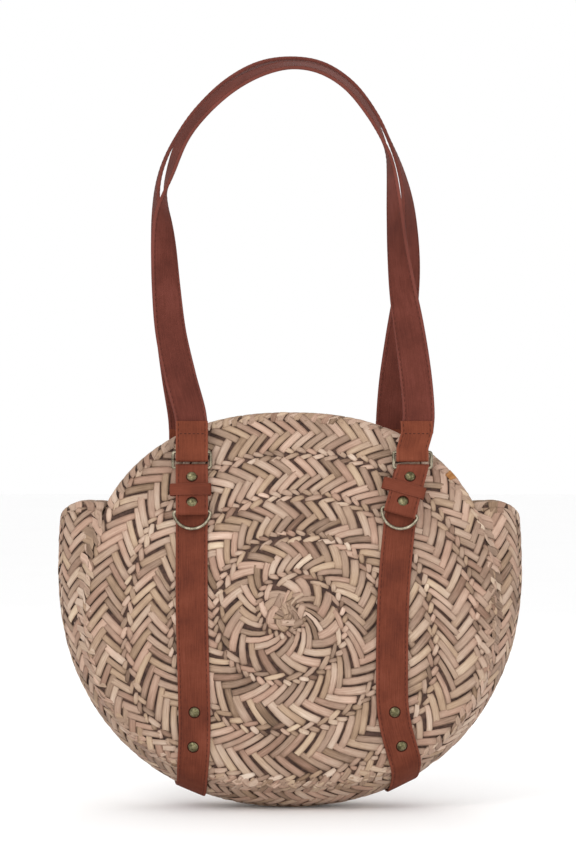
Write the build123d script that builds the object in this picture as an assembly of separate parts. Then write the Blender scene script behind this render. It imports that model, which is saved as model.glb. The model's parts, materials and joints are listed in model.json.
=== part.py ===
"""A round woven beach bag with two leather shoulder handles.

Millimetres, +Z up. The bag faces -Y, its left side is at -X, and the origin is the middle of its
lowest point. Two dished discs and a side band make the woven body. Two leather base straps run
under it. At each of their four ends a riveted tab holds a handle ring and a loose D-ring.
"""

import os
from math import atan2, cos, hypot, pi, radians, sin

from build123d import *

# Woven body: two discs, seen from the front as superellipses around the spiral's centre
CENTRE_Z = 190.0         # height of each disc's spiral centre
DISC_HALF_WIDTH = 194.0  # centre to the side of a disc
DISC_ABOVE = 184.0       # centre to the rim of the mouth
DISC_BELOW = 168.0       # centre to the bottom seam
DISC_POWER = 2.3         # 2 is an ellipse, more is squarer
CROWN_DEPTH = 72.0       # middle plane to the disc's centre
RIM_DEPTH = 44.0         # middle plane to the disc's rim at its sides
RIM_LEAN = 6.0           # how much closer the rim is at the mouth, and wider at the bottom
DOME_POWER = 3.2         # how flat a disc is before it falls to its rim: 2 is a plain bowl
WALL = 4.0               # thickness of the sewn palm braid

# Side band: its outer edge is a second superellipse, and it stands up as an ear beside the mouth
BAND_Z = 225.0           # height where the bag is widest
BAND_HALF_WIDTH = 220.0
BAND_ABOVE = 309.0
BAND_BELOW = 225.0
BAND_POWER = 2.15
BAND_BULGE = 2.2         # how round the band is across its width
EAR_ANGLE = 30.0         # where the band ends, seen from the disc's centre
EAR_BAND_ANGLE = 17.0    # the same point, seen from the band's own centre
BAND_TUCK = 5.2          # a disc's outer face at its rim to the band's edge behind it

# Leather straps
STRAP_WIDTH = 30.0
STRAP = 2.2              # thickness of a base strap
STRAP_GAP = 0.5          # air under a base strap
STRAP_TURN = 0.75        # share of the band's half width where a base strap leaves it for a disc
STRAP_TOP_Z = 319.0      # where a base strap ends, under its tab
HANDLE = 3.2             # thickness of a handle

# Rings are bent from one size of wire
WIRE = 3.0
RING_INNER_WIDTH = 32.0
RING_BAR_SPACING = 14.6  # between the centres of a handle ring's two bars
RING_CORNER = 2.0
D_RING_HEIGHT = 16.0     # from the D-ring's bar to the bottom of its arc, centre to centre
D_RING_CORNER = 2.4
RUNNING_GAP = 0.3        # leather loop to wire

# Riveted tab: a doubled strip with a handle ring in its top fold and a D-ring in its bottom fold
TAB_LAYER = 1.8
TAB_DROP = 42.0          # height between the two folds
TAB_RIVETS = (8.5, 33.5)  # from the top fold, along the tab
KEEPER_MIDDLE = 21.0     # from the top fold, along the tab
KEEPER_HEIGHT = 11.0
KEEPER_WALL = 1.5
KEEPER_SIDE = 2.0
KEEPER_INNER_WIDTH = 32.0
KEEPER_SLACK = 0.6       # between the keeper and the tab's two faces together
FOLD_RADIUS = WIRE / 2 + RUNNING_GAP + TAB_LAYER
TAB_GAP = 2.6            # air under the middle of a tab's bottom fold, where the disc is curved
HINGE_Y = 59.5           # the handle rings' lower bars, from the middle plane
HINGE_Z = 322.0

# Rivets
RIVET_HEAD = 4.7         # radius
RIVET_DOME = 2.2
RIVET_SHANK = 2.0
RIVET_HOLE = 2.1
RIVET_BACK = 4.4
RIVET_BACK_THICKNESS = 1.2
RIVET_BACK_GAP = 1.4     # the cap is flat and the woven wall is curved
RIVET_SEAT = 0.1         # a base rivet's head above its strap
HOLE_LENGTH = 30.0       # of a rivet hole's cutter
HOLE_MIDDLE = 8.0        # of that cutter, behind the rivet's head
BASE_RIVETS_Z = (95.0, 63.0)

# Each corner: its name, the tab's top and bottom across the bag, and the side (-1 front, 1 rear)
CORNERS = {
    "front_left": (-91.5, -90.0, -1),
    "front_right": (114.0, 101.0, -1),
    "rear_left": (-102.0, -100.0, 1),
    "rear_right": (98.0, 96.0, 1),
}

# Middle line of each base strap as (across, height), from its tab down to the bottom seam
BASE_ROUTES = {
    "front_left": [(-91.0, STRAP_TOP_Z), (-91.0, 200.0), (-88.5, 95.0), (-91.0, 48.0)],
    "front_right": [(104.0, STRAP_TOP_Z), (96.0, 210.0), (94.5, 130.0), (97.0, 95.0), (109.0, 48.0)],
    "rear_left": [(-101.0, STRAP_TOP_Z), (-99.0, 180.0), (-98.0, 48.0)],
    "rear_right": [(97.0, STRAP_TOP_Z), (96.0, 180.0), (99.0, 48.0)],
}

# Handles: (across, height, twist) along the strap's middle line. Twist 0 faces out of the bag,
# and 90 lays the strap's width across the bag's middle plane.
HANDLE_APEX_Y = 17.0
HANDLE_APEX_Z = 702.0
FOLD_SLACK = 5.0         # how far the fold hangs below the ring's bar
FOLD_NECK = 4.0          # how far its round part reaches above the bar
STITCHED_END = 22.0      # the doubled end of a handle, above the ring's bar
STITCHED_THICKNESS = 4.6
STITCHED_OVERLAP = 3.0   # of the doubled end and the single strap
HANDLE_ROUTES = {
    "front": [
        (-93.5, 374, 0), (-102.5, 407, 4), (-111.5, 448, 16), (-116, 490, 29), (-118.5, 530, 42),
        (-119.5, 558, 62), (-118, 576, 86), (-114, 594, 101), (-102, 629, 107), (-84, 655, 109),
        (-58, 679, 109), (-29, 695, 107), (1, 702, 105), (30, 697, 105), (56, 680, 104),
        (77, 652, 100), (90, 624, 92), (95, 602, 80), (98.5, 560, 64), (101, 527, 54),
        (105.5, 489, 37), (112, 448, 19), (117.5, 407, 7), (118, 374, 0),
    ],
    "rear": [
        (-103.5, 374, 0), (-109, 408, 5), (-115, 451, 15), (-120, 493, 31), (-125, 535, 55),
        (-128, 565, 74), (-127, 590, 84), (-121, 613, 87), (-109, 637, 89), (-90, 663, 92),
        (-62, 689, 95), (-31, 706, 96), (1, 711, 96), (32, 706, 95), (60, 688, 93),
        (82, 660, 91), (96, 632, 88), (106, 606, 81), (112.5, 578, 71), (115, 548, 60),
        (114.5, 515, 45), (111, 482, 30), (106, 444, 15), (101, 405, 4), (98.5, 374, 0),
    ],
}


# How finely the curved pieces are worked out
SHEET_MARGIN = 14.0      # a disc's sheet past its outline, before it is cut
DISC_GRID = 29           # points across and down a disc
OUTLINE_POINTS = 72      # round a disc
BAND_GRID = 31           # from the bottom to an ear
ACROSS_GRID = 15         # across the band
STRAP_GRID = 25          # down a base strap's front or rear
STRAP_OFFSETS = 5        # across a base strap
UNDER_GRID = 13          # of a base strap, under the bag
ROUTE_SAMPLES = 201
BISECTIONS = 40
NORMAL_STEP = 0.5
PROBE_STEP = 0.05


# ---------------------------------------------------------------- the woven body's outer surface
def reach(angle, half_width, above, below, power):
    """Distance from a superellipse's centre to its edge, at an angle in radians."""
    height = above if sin(angle) > 0 else below
    return (abs(cos(angle) / half_width) ** power + abs(sin(angle) / height) ** power) ** (-1 / power)


def disc_reach(angle):
    return reach(angle, DISC_HALF_WIDTH, DISC_ABOVE, DISC_BELOW, DISC_POWER)


def disc_depth(x, z):
    """Middle plane to a disc's outer face."""
    angle = atan2(z - CENTRE_Z, x)
    outward = hypot(x, z - CENTRE_Z) / disc_reach(angle)
    rim = RIM_DEPTH - RIM_LEAN * sin(angle)
    power = DOME_POWER - sin(angle)
    if outward > 1:
        return rim - (CROWN_DEPTH - rim) * power * (outward - 1)
    return rim + (CROWN_DEPTH - rim) * (1 - outward ** power)


def disc_bottom(x):
    """Height of a disc's bottom edge, at a place across the bag."""
    return CENTRE_Z - DISC_BELOW * (1 - abs(x / DISC_HALF_WIDTH) ** DISC_POWER) ** (1 / DISC_POWER)


def disc_normal(x, z):
    """Outward direction of the front disc's outer face."""
    step = NORMAL_STEP
    slope_x = (disc_depth(x + step, z) - disc_depth(x - step, z)) / (2 * step)
    slope_z = (disc_depth(x, z + step) - disc_depth(x, z - step)) / (2 * step)
    return Vector(-slope_x, -1, -slope_z).normalized()


def surface_point(x, z, height):
    """A point above the front disc's outer face."""
    return Vector(x, -disc_depth(x, z), z) + disc_normal(x, z) * height


def band_point(angle, across):
    """A point of the side band's outer face: across runs from -1, front seam, to 1, rear seam."""
    along = (angle + pi / 2) / (radians(EAR_ANGLE) + pi / 2)
    edge_angle = -pi / 2 + along * (radians(EAR_BAND_ANGLE) + pi / 2)
    disc = disc_reach(angle)
    edge = reach(edge_angle, BAND_HALF_WIDTH, BAND_ABOVE, BAND_BELOW, BAND_POWER)
    seam = Vector(disc * cos(angle), 0, CENTRE_Z + disc * sin(angle))
    outer = Vector(edge * cos(edge_angle), 0, BAND_Z + edge * sin(edge_angle))
    bulge = 1 - abs(across) ** BAND_BULGE
    depth = RIM_DEPTH - RIM_LEAN * sin(angle) - BAND_TUCK
    return seam + (outer - seam) * bulge + Vector(0, depth * across, 0)


def band_under(x, across):
    """The side band's outer face under the bag, at a place across the bag."""
    low = -pi / 2
    high = 0.0
    for _ in range(BISECTIONS):
        middle = (low + high) / 2
        if band_point(middle, across).X < abs(x):
            low = middle
        else:
            high = middle
    point = band_point(low, across)
    return Vector(x, point.Y, point.Z)


# ---------------------------------------------------------------- helpers
def spread(start, end, count):
    """Evenly spaced values, both ends included."""
    return [start + (end - start) * i / (count - 1) for i in range(count)]


def lift(rows, gap):
    """Move a grid of surface points outward along the grid's own normals."""
    lifted = []
    for i, row in enumerate(rows):
        before = rows[max(i - 1, 0)]
        after = rows[min(i + 1, len(rows) - 1)]
        line = []
        for j, point in enumerate(row):
            across = row[min(j + 1, len(row) - 1)] - row[max(j - 1, 0)]
            normal = (after[j] - before[j]).cross(across).normalized()
            line.append(point + normal * gap)
        lifted.append(line)
    return lifted


def sheet(rows, thickness):
    """A solid of even thickness behind a smooth face through a grid of points."""
    inner = lift(rows, -thickness)
    faces = [Face.make_surface_from_array_of_points(grid) for grid in (rows, inner)]
    outer_edges, inner_edges = (face.edges() for face in faces)
    for edge in outer_edges:
        partner = min(inner_edges, key=lambda other: (other @ 0.5 - edge @ 0.5).length)
        faces.append(Face.make_surface_from_curves(edge, partner))
    return Solid(Shell(faces))


def at(point, outward, across=Vector(1, 0, 0)):
    """A plane with +Z outward and +X as near as possible to a direction across the bag."""
    return Plane(origin=point, x_dir=across - outward * across.dot(outward), z_dir=outward)


def rearward(shape):
    """Turn a front piece into a rear one."""
    return mirror(shape, about=Plane.XZ)


def on_side(shape, side):
    return shape if side < 0 else rearward(shape)


# ---------------------------------------------------------------- woven pieces
def disc():
    """The front disc: a dished sheet cut to its outline."""
    side = DISC_HALF_WIDTH + SHEET_MARGIN
    top = CENTRE_Z + DISC_ABOVE + SHEET_MARGIN
    bottom = CENTRE_Z - DISC_BELOW - SHEET_MARGIN
    columns = spread(-side, side, DISC_GRID)
    rows = [[Vector(x, -disc_depth(x, z), z) for x in columns] for z in spread(top, bottom, DISC_GRID)]
    angles = spread(0, 2 * pi, OUTLINE_POINTS + 1)[:-1]
    outline = [(disc_reach(a) * cos(a), CENTRE_Z + disc_reach(a) * sin(a)) for a in angles]
    cutter = extrude(Plane.XZ * make_face(Spline(*outline, periodic=True)), 2 * CROWN_DEPTH)
    return sheet(rows, WALL) & cutter


def side_band():
    """The band between the two discs, from ear to ear under the bag."""
    angles = spread(-pi / 2, radians(EAR_ANGLE), BAND_GRID)
    right = [[band_point(a, across) for across in spread(1, -1, ACROSS_GRID)] for a in angles]
    left = [[Vector(-p.X, p.Y, p.Z) for p in row] for row in reversed(right[1:])]
    return sheet(left + right, WALL)


# ---------------------------------------------------------------- leather base straps
def strap_on_disc(route, offsets):
    """Rows of points down the front disc, ending on its bottom edge."""
    rows = []
    top = route @ 0
    low = route @ 1
    for share in spread(0, 1, STRAP_GRID):
        centre = route @ share
        fallen = (top.Y - centre.Y) / (top.Y - low.Y)
        row = []
        for offset in offsets:
            x = centre.X + offset
            z = top.Y - fallen * (top.Y - disc_bottom(x))
            row.append(Vector(x, -disc_depth(x, z), z))
        rows.append(row)
    return rows


def base_strap(hand):
    """One strap down the front, under the bag and up the rear."""
    offsets = spread(-STRAP_WIDTH / 2, STRAP_WIDTH / 2, STRAP_OFFSETS)
    front = strap_on_disc(Spline(*BASE_ROUTES[f"front_{hand}"]), offsets)
    rear = strap_on_disc(Spline(*BASE_ROUTES[f"rear_{hand}"]), offsets)
    rear = [[Vector(p.X, -p.Y, p.Z) for p in row] for row in reversed(rear)]
    middle = STRAP_OFFSETS // 2
    centres = spread(front[-1][middle].X, rear[0][middle].X, UNDER_GRID + 2)[1:-1]
    under = []
    for centre, across in zip(centres, spread(-STRAP_TURN, STRAP_TURN, UNDER_GRID)):
        under.append([band_under(centre + offset, across) for offset in offsets])
    rows = front + under + rear
    return sheet(lift(rows, STRAP_GAP + STRAP), STRAP)


# ---------------------------------------------------------------- corner hardware
class Corner:
    """Where one tab lies, worked out as if it were on the front."""

    def __init__(self, name):
        top_x, bottom_x, self.side = CORNERS[name]
        self.name = name
        self.top = Vector(top_x, -HINGE_Y, HINGE_Z)
        bottom_z = HINGE_Z - TAB_DROP
        over_weave = STRAP_GAP + STRAP + TAB_GAP + FOLD_RADIUS
        self.bottom = surface_point(bottom_x, bottom_z, over_weave)
        self.up = (self.top - self.bottom).normalized()
        x_axis = Vector(1, 0, 0)
        self.across = (x_axis - self.up * x_axis.dot(self.up)).normalized()
        self.out = self.across.cross(self.up)
        self.length = (self.top - self.bottom).length

    def plane(self, down, out=0.0):
        """A plane facing out of the bag, a distance down the tab and out of its middle."""
        origin = self.top - self.up * down + self.out * out
        return Plane(origin=origin, x_dir=self.across, z_dir=self.out)

    def rivet_planes(self):
        return [self.plane(down, TAB_LAYER) for down in TAB_RIVETS]

    def base_rivet_planes(self):
        planes = []
        route = Spline(*BASE_ROUTES[self.name])
        samples = [route @ share for share in spread(0, 1, ROUTE_SAMPLES)]
        for z in BASE_RIVETS_Z:
            spot = min(samples, key=lambda sample: abs(sample.Y - z))
            point = surface_point(spot.X, spot.Y, STRAP_GAP + STRAP + RIVET_SEAT)
            planes.append(at(point, disc_normal(spot.X, spot.Y)))
        return planes


def inner_wall_depth(plane):
    """How far behind a plane's origin the woven wall's inner face is, along its normal."""
    depth = 0.0
    point = plane.origin
    while -point.Y > disc_depth(point.X, point.Z) - WALL:
        depth += PROBE_STEP
        point = plane.origin - plane.z_dir * depth
    return depth


def rivet(plane):
    """A domed rivet and, inside the bag, the cap that it is set in."""
    grip = inner_wall_depth(plane) + RIVET_BACK_GAP
    head_ball = (RIVET_HEAD ** 2 + RIVET_DOME ** 2) / (2 * RIVET_DOME)
    dome = Pos(0, 0, RIVET_DOME - head_ball) * Sphere(head_ball)
    dome = dome & Pos(0, 0, head_ball) * Box(4 * head_ball, 4 * head_ball, 2 * head_ball)
    shank = Pos(0, 0, -grip / 2) * Cylinder(RIVET_SHANK, grip)
    back = Pos(0, 0, -grip - RIVET_BACK_THICKNESS / 2) * Cylinder(RIVET_BACK, RIVET_BACK_THICKNESS)
    return [plane * (dome + shank), plane * back]


def rivet_hole(plane):
    return plane * Pos(0, 0, -HOLE_MIDDLE) * Cylinder(RIVET_HOLE, HOLE_LENGTH)


def tab(corner):
    """A strip doubled round both rings, with a flat middle that the rivets go through."""
    half = STRAP_WIDTH / 2
    x_axis = Vector(1, 0, 0)
    outline = [corner.top - x_axis * half, corner.top + x_axis * half,
               corner.bottom + corner.across * half, corner.bottom - corner.across * half]
    face = make_face(Polyline(*outline, close=True))
    solid = extrude(face, TAB_LAYER, dir=corner.out, both=True)
    folds = ((corner.top, x_axis), (corner.bottom, corner.across))
    for centre, axis in folds:
        solid += Plane(origin=centre, z_dir=axis) * Cylinder(FOLD_RADIUS, STRAP_WIDTH)
    for centre, axis in folds:
        bore = Cylinder(WIRE / 2 + RUNNING_GAP, 2 * STRAP_WIDTH)
        solid -= Plane(origin=centre, z_dir=axis) * bore
    for plane in corner.rivet_planes():
        solid -= rivet_hole(plane)
    return solid


def keeper(corner):
    """A leather loop round the tab's middle."""
    inner_depth = 2 * TAB_LAYER + KEEPER_SLACK
    outer = Box(KEEPER_INNER_WIDTH + 2 * KEEPER_SIDE, KEEPER_HEIGHT, inner_depth + 2 * KEEPER_WALL)
    inner = Box(KEEPER_INNER_WIDTH, 2 * KEEPER_HEIGHT, inner_depth)
    return corner.plane(KEEPER_MIDDLE) * (outer - inner)


def wire_ring(plane, outline):
    """A closed ring of round wire along an outline."""
    path = (plane * outline).wire()
    return sweep(Plane(origin=path @ 0, z_dir=path % 0) * Circle(WIRE / 2), path=path)


def handle_ring(corner):
    """A rectangular ring, leaning with the handle."""
    up = handle_lean()
    plane = Plane(origin=corner.top + up * (RING_BAR_SPACING / 2), x_dir=(1, 0, 0),
                  z_dir=Vector(1, 0, 0).cross(up))
    outline = RectangleRounded(RING_INNER_WIDTH + WIRE, RING_BAR_SPACING, RING_CORNER)
    return wire_ring(plane, outline)


def d_ring(corner):
    """A D-ring hanging from the tab's bottom fold against the base strap."""
    low_z = corner.bottom.Z - D_RING_HEIGHT
    low = surface_point(corner.bottom.X, low_z, STRAP_GAP + STRAP + TAB_GAP + WIRE / 2)
    up = (corner.bottom - low).normalized()
    up = (up - corner.across * up.dot(corner.across)).normalized()
    plane = Plane(origin=corner.bottom, x_dir=corner.across, z_dir=corner.across.cross(up))
    half = (RING_INNER_WIDTH + WIRE) / 2
    bar = Line((-half, 0), (half, 0))
    arc = ThreePointArc((half, 0), (0, -D_RING_HEIGHT), (-half, 0))
    face = make_face([bar, arc])
    return wire_ring(plane, fillet(face.vertices(), D_RING_CORNER))


# ---------------------------------------------------------------- handles
def handle_lean():
    """The direction from a handle ring's lower bar towards the handle's top, on the front."""
    return Vector(0, HINGE_Y - HANDLE_APEX_Y, HANDLE_APEX_Z - HINGE_Z).normalized()


def handle_fold(bar, lean, facing):
    """The stitched end of a handle, folded round its ring's upper bar."""
    plane = Plane(origin=bar, x_dir=facing, z_dir=(1, 0, 0))
    upward = 1 if plane.y_dir.dot(lean) > 0 else -1
    neck = Pos(0, upward * (FOLD_NECK - FOLD_SLACK) / 2)
    outer = neck * Rectangle(2 * FOLD_RADIUS, FOLD_NECK + FOLD_SLACK)
    outer += Pos(0, -upward * FOLD_SLACK) * Circle(FOLD_RADIUS)
    outer += Pos(0, upward * FOLD_NECK) * Circle(FOLD_RADIUS)
    outer += Pos(0, upward * STITCHED_END / 2) * Rectangle(STITCHED_THICKNESS, STITCHED_END)
    bore = WIRE / 2 + RUNNING_GAP
    inner = Pos(0, -upward * FOLD_SLACK / 2) * Rectangle(2 * bore, FOLD_SLACK)
    inner += Circle(bore)
    inner += Pos(0, -upward * FOLD_SLACK) * Circle(bore)
    return plane * extrude(outer - inner, STRAP_WIDTH / 2, both=True)


def handle(end):
    """A twisted strap with a stitched fold round the ring at each end, as if on the front."""
    lean = handle_lean()
    facing = Vector(1, 0, 0).cross(lean)
    hinge = Vector(0, -HINGE_Y, HINGE_Z)
    bars = [Vector(CORNERS[f"{end}_{hand}"][0], -HINGE_Y, HINGE_Z) + lean * RING_BAR_SPACING
            for hand in ("left", "right")]
    ends = [bar + lean * (STITCHED_END - STITCHED_OVERLAP) for bar in bars]
    points = [ends[0]]
    twists = [0]
    for x, z, twist in HANDLE_ROUTES[end]:
        points.append(Vector(x, 0, 0) + hinge + lean * ((z - HINGE_Z) / lean.Z))
        twists.append(twist)
    points.append(ends[1])
    twists.append(0)
    directions = [lean]
    for before, after in zip(points, points[2:]):
        directions.append((after - before).normalized())
    directions.append(lean * -1)
    sections = []
    for point, twist, along in zip(points, twists, directions):
        width = facing.cross(along) * cos(radians(twist)) + facing * sin(radians(twist))
        plane = Plane(origin=point, x_dir=width, z_dir=along)
        sections.append(plane * Rectangle(STRAP_WIDTH, HANDLE))
    solid = loft(sections)
    for bar in bars:
        solid += handle_fold(bar, lean, facing)
    return solid


# ---------------------------------------------------------------- the whole bag
def build():
    corners = [Corner(name) for name in CORNERS]
    nodes = {}
    holes = {"front": [], "rear": []}
    for corner in corners:
        planes = corner.rivet_planes()
        base_planes = corner.base_rivet_planes()
        pieces = {
            "tab": tab(corner),
            "keeper": keeper(corner),
            "handle_ring": handle_ring(corner),
            "d_ring": d_ring(corner),
            "tab_rivets": Compound([piece for plane in planes for piece in rivet(plane)]),
            "base_rivets": Compound([piece for plane in base_planes for piece in rivet(plane)]),
        }
        for kind, shape in pieces.items():
            nodes[f"{corner.name}_{kind}"] = on_side(shape, corner.side)
        cutters = [on_side(rivet_hole(plane), corner.side) for plane in planes + base_planes]
        holes["front" if corner.side < 0 else "rear"] += cutters
    front = disc()
    nodes["front_panel"] = front - holes["front"]
    nodes["rear_panel"] = rearward(front) - holes["rear"]
    nodes["side_band"] = side_band()
    for hand in ("left", "right"):
        nodes[f"{hand}_base_strap"] = base_strap(hand) - holes["front"] - holes["rear"]
    nodes["front_handle"] = handle("front")
    nodes["rear_handle"] = rearward(handle("rear"))
    return nodes


if __name__ == "__main__":
    os.makedirs("parts", exist_ok=True)
    for node, shape in build().items():
        export_step(shape, f"parts/{node}.step")
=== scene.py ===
"""The look of the woven beach bag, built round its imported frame.

Lengths are millimetres in the bag's own frame until mesh_object() makes them metres. Pieces of the
rear are worked out as if they were on the front, and turned to the rear at the end.
"""

import json
from math import atan2, cos, hypot, pi, radians, sin

import bpy
import numpy as np
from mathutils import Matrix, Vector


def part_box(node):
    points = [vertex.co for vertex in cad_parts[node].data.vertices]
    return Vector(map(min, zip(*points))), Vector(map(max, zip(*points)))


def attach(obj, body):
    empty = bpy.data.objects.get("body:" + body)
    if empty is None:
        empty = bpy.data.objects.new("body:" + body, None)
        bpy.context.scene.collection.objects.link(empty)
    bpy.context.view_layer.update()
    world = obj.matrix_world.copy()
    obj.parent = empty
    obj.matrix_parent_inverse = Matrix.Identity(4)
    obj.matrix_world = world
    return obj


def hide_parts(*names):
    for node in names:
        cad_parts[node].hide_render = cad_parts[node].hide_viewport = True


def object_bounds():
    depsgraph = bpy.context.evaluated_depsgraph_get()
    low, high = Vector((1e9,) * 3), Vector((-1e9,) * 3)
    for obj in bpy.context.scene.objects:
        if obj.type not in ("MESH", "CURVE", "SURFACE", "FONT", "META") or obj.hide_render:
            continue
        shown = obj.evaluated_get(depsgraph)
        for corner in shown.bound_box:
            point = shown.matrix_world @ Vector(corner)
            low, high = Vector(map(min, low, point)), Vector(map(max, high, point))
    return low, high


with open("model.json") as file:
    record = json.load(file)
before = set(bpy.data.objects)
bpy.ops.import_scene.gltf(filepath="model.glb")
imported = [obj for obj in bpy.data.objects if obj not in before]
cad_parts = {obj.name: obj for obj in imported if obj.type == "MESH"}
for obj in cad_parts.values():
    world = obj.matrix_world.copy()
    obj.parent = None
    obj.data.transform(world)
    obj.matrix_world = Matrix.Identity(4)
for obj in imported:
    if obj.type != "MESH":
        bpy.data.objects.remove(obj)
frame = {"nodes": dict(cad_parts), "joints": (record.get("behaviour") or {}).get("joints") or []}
CAD_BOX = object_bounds()
MM = 0.001
RANDOM = np.random.default_rng(7)

# ---- sizes read from the frame
PANEL_LOW, PANEL_HIGH = (np.array(corner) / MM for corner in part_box("front_panel"))
BAND_LOW, BAND_HIGH = (np.array(corner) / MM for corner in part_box("side_band"))
JOINT_POINTS = {j["name"]: np.array(j["pos_m"]) / MM for j in frame["joints"]}

# Woven body: two discs, seen from the front as superellipses around the spiral's centre
DISC_HALF_WIDTH = PANEL_HIGH[0]
DISC_ABOVE = 184.0
DISC_BELOW = PANEL_HIGH[2] - PANEL_LOW[2] - DISC_ABOVE
CENTRE_Z = PANEL_HIGH[2] - DISC_ABOVE
DISC_POWER = 2.3
CROWN_DEPTH = -PANEL_LOW[1]
RIM_DEPTH = 44.0
RIM_LEAN = 6.0
DOME_POWER = 3.2
WALL = 4.0

# Side band: its outer edge is a second superellipse, and it stands up as an ear beside the mouth
BAND_Z = 225.0
BAND_HALF_WIDTH = BAND_HIGH[0]
BAND_ABOVE = 309.0
BAND_BELOW = BAND_Z - BAND_LOW[2]
BAND_POWER = 2.15
BAND_BULGE = 2.2
EAR_ANGLE = radians(30)
EAR_BAND_ANGLE = radians(17)
BAND_TUCK = 5.2
BAND_ROWS = 3
BAND_TURNS = -1.0, 1.06  # where its braid starts and ends, past the left ear and the right one
EAR_CUT = 0.985          # where the band's leaves are cut, short of the ear's folded edge
SEAM_START = 0.008       # of the clock, from the mouth's end to the first leaf across the seam
EAR_ROUNDING = 0.028     # how much of the band is missing at the ear's outer corner
EAR_CORNER = 0.75        # how far round the ear's edge, from its outer corner, that goes
MOUTH_SHARE = 1 / 6      # of the clock, from the top to where the mouth ends and the band begins

# Braid: leaves of split palm plaited into a strip, which is wound clockwise and sewn edge to edge
LEAF_PITCH = 11.4        # along the braid, from one leaf to the next
LEAF_WIDTH = 7.2
LEAF_THICKNESS = 0.35
LEAF_SPREAD = 0.78, 1.08   # widths, as shares of that
LEAF_BOW = 0.3           # typical
LEAF_TILT = 0.16, 0.14   # of one long edge over the other: mean and spread
LEAF_CREASES = 0.0, 0.22, 0.34   # depths along its middle
LEAF_TONE = 0.61, 0.12   # mean and spread
FOLD_TONE_SPREAD = 0.11
LEAF_SHIFT = 0.6         # typical, of a leaf from its even place
LEAF_STRAY = 0.75        # typical, of its far end as well
EDGE_LOOP = 5.0          # width of the row of short leaves along each seam
LOOP_RUN = 14.0          # how far such a leaf runs along the braid
FULL_BRAID = 34.0        # a braid narrower than this has shorter loops
LOOP_NARROWING = 0.74    # a short leaf's width, as a share of a long one's
LEAF_SLANT = 1.15        # how far a leaf runs along the braid for each step across it
LEAF_TUCK = 3.2          # how far a leaf's end passes under the leaves that it meets
BRAID_LOW = -2.1         # where a leaf's tucked ends lie, above the wall's outer face
BRAID_HIGH = 0.1         # the middle of a leaf
BRAID_TOP = 0.42         # no leaf is higher than this, so that a strap lies over it
KNOT_RADIUS = 15.0       # of the unevenly laid leaves in the spiral's centre
KNOT_LEAVES = 12
SPIRAL_SHRINK = 1.08     # rounds are a little narrower towards the centre
SPIRAL_TURNS = -0.82, 4.34   # where a disc's braid starts and ends
ROUNDS = 4.5225          # of braid between a disc's centre and its rim, on average
ROUNDS_TOP = 0.675       # how many more there are upward, and fewer downward
ROUNDS_SIDE = 0.1975     # how many more there are sideways, and fewer up and down
LEAST_WIDTH = 7.0        # a braid narrower than this has no leaves
LEAST_PACE = 60.0        # millimetres of braid per turn, so that leaves stay few at the centre
RIM_LEAVES = 44          # over the mouth's edge of one disc
SEAM_LEAVES = 96         # across the seam between one disc and the band
EAR_LEAVES = 13          # over one ear's edge
EAR_HALF_LENGTH = 330.0  # along the band, from under the bag to an ear's edge
RIM_TONE = 0.58          # leaves that go over an edge
STAINED_PLACE = 0.1412   # of the clock, where the ochre leaf lies on the front rim
STAINED_HALF = 0.0052    # half its width, of the clock
STAINED_REACH = 6.5      # from the rim inward
STAINED_TURN = 0.62      # how far it goes over the rim, as a share of a half turn
SHADE_SHEET_DEPTH = 1.3         # the dark sheet of painted shade that shows between the leaves, under the outer face

# Leather
STRAP_WIDTH = 30.0
STRAP = 2.2
STRAP_GAP = 0.5
STRAP_TOP_Z = 319.0
STRAP_TURN = 0.75        # share of the band's half width where a base strap leaves it for a disc
HANDLE = 3.2
HANDLE_END = 19.0        # where the strap starts, above its ring's bar
HANDLE_POINTS = 230
TWIST_PASSES = 12        # of smoothing
TAB_LAYER = 1.7
TAB_GAP = 0.1            # half the slit between a tab's two layers
TAB_BEND = 110           # degrees that a tab's fold turns, to each side of its middle
TAB_BEND_POINTS = 23
TAB_BACK_STEPS = 8       # of each end of the strip, which meet halfway behind
TAB_FRONT_STEPS = 20
TAB_FRONT_START = 1.3    # of the fold's radius, from a tab's ring to its flat front
KEEPER_WIDTH = 11.0
KEEPER_WALL = 1.5
KEEPER_HALF = 18.0       # middle of the tab to the outside of its keeper
KEEPER_DEPTH = 2.1       # middle of the tab to the inside of its keeper, outward
KEEPER_BEND = 1.5        # radius of its corners
KEEPER_CROWN = 0.25      # how far its front and back swell
KEEPER_DOWN = 21.0       # from the tab's top fold
KEEPER_SLACK = {"front_left": 2.6, "front_right": 5.0}   # how much further left it reaches
STITCH = 3.4             # length of one stitch
STITCH_PITCH = 5.0
STITCH_THREAD = 0.28     # radius
STITCH_INSET = 2.6       # from the strap's edge

# Rings and rivets
WIRE = 3.0
RING_BAR_SPACING = 14.6
RING_GAP = 0.3
RIVET_HEAD = 4.7         # radius
RIVET_DOME = 2.2         # height
TAB_RIVETS = 8.5, 33.5   # from the tab's top fold
BASE_RIVETS_Z = 95.0, 63.0
# Painted shade: a dark ring of leather round each rivet's head, standing in for the shade where the
# head presses into the strap
SHADE_RING_POINTS = 36
SHADE_RING_LIFT = 0.1          # of the dark ring of painted shade round a rivet, over the leather
# Its section: how far out from the rivet's head, and how far over the leather
SHADE_RING_PROFILE = (-0.6, -0.5), (-0.6, 0.1), (0.2, 0.22), (0.8, 0.16), (1.25, -0.5)

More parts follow.
